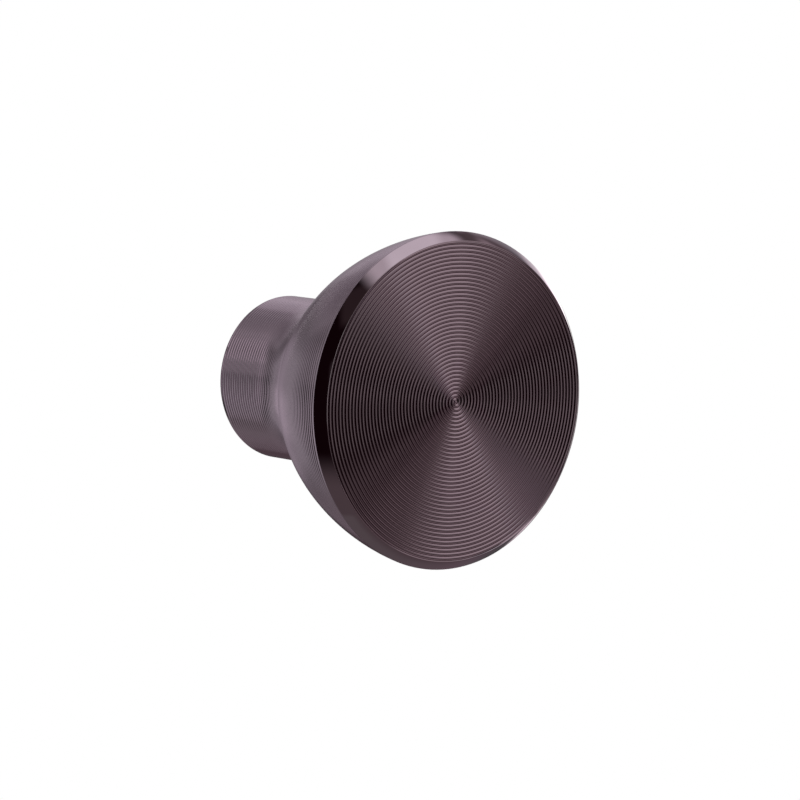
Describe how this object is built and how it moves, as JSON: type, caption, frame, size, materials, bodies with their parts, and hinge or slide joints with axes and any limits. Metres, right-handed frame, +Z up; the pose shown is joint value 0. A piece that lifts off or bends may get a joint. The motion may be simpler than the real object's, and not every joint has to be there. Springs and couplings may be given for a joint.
{
  "type": "cabinet knob",
  "caption": "Round turned cabinet knob: a flat face with a bevelled edge, a flared body that narrows to a plain stem, and a threaded hole in its back.",
  "frame": {"origin": "centre of the flat back face, at the mouth of the screw hole", "axes": "+Y along the knob's axis, out of its back and into the door; the face looks along -Y; +Z up"},
  "size_m": [0.034, 0.0285, 0.034],
  "materials": {
    "anodised_aluminium": "satin"
  },
  "bodies": {
    "root": {"knob": "anodised_aluminium"}
  },
  "joints": []
}
